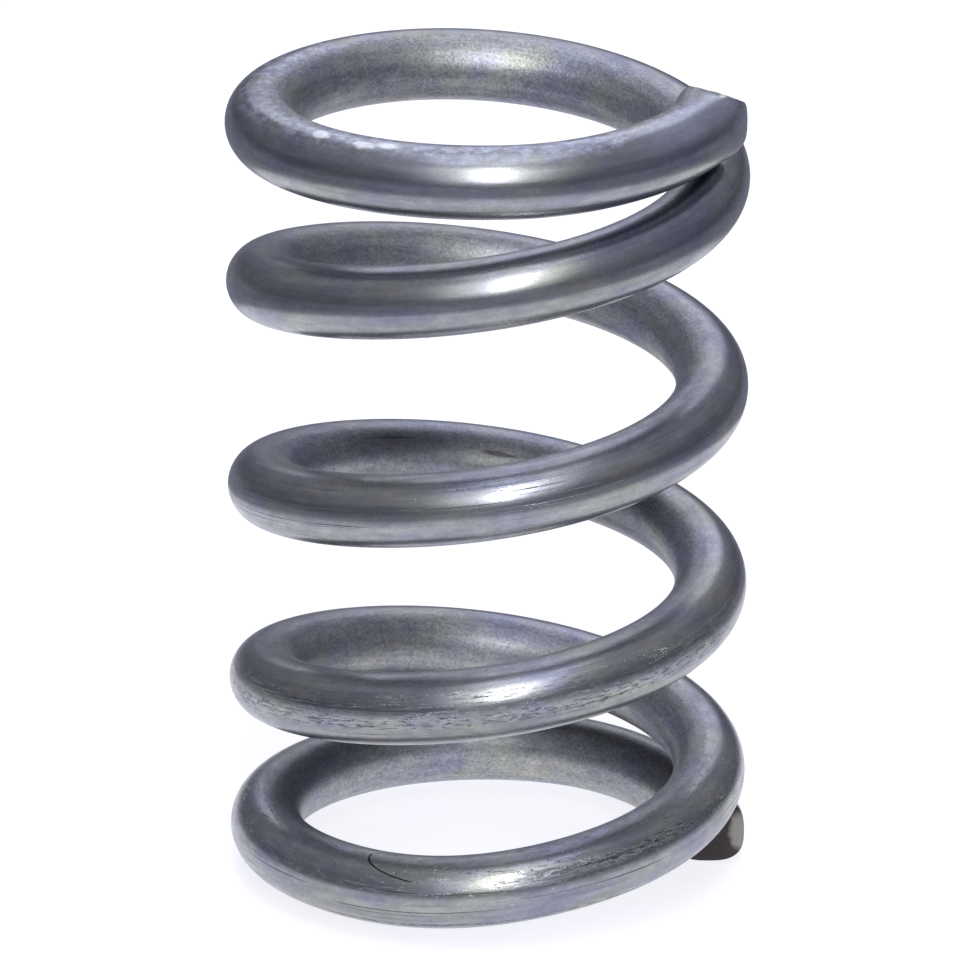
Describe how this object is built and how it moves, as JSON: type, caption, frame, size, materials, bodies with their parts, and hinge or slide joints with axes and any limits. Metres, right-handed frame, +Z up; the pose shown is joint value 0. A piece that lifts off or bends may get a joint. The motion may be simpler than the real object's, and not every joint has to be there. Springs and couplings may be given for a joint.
{
  "type": "compression spring",
  "caption": "Small open-coil compression spring of round steel wire with closed, unground ends; it pushes two seats apart over a rod or in a bore.",
  "frame": {"origin": "on the coil axis, level with the lowest point the spring stands on", "axes": "+Z up along the coil axis; +X towards the lower cut wire end; the wire climbs counter-clockwise seen from above"},
  "size_m": [0.0144, 0.0144, 0.0233],
  "materials": {
    "spring_wire": "bare drawn spring steel, satin grey, with fine die lines, scuffs and dull storage stains"
  },
  "bodies": {
    "root": {"coil_spring": "spring_wire"}
  },
  "joints": []
}
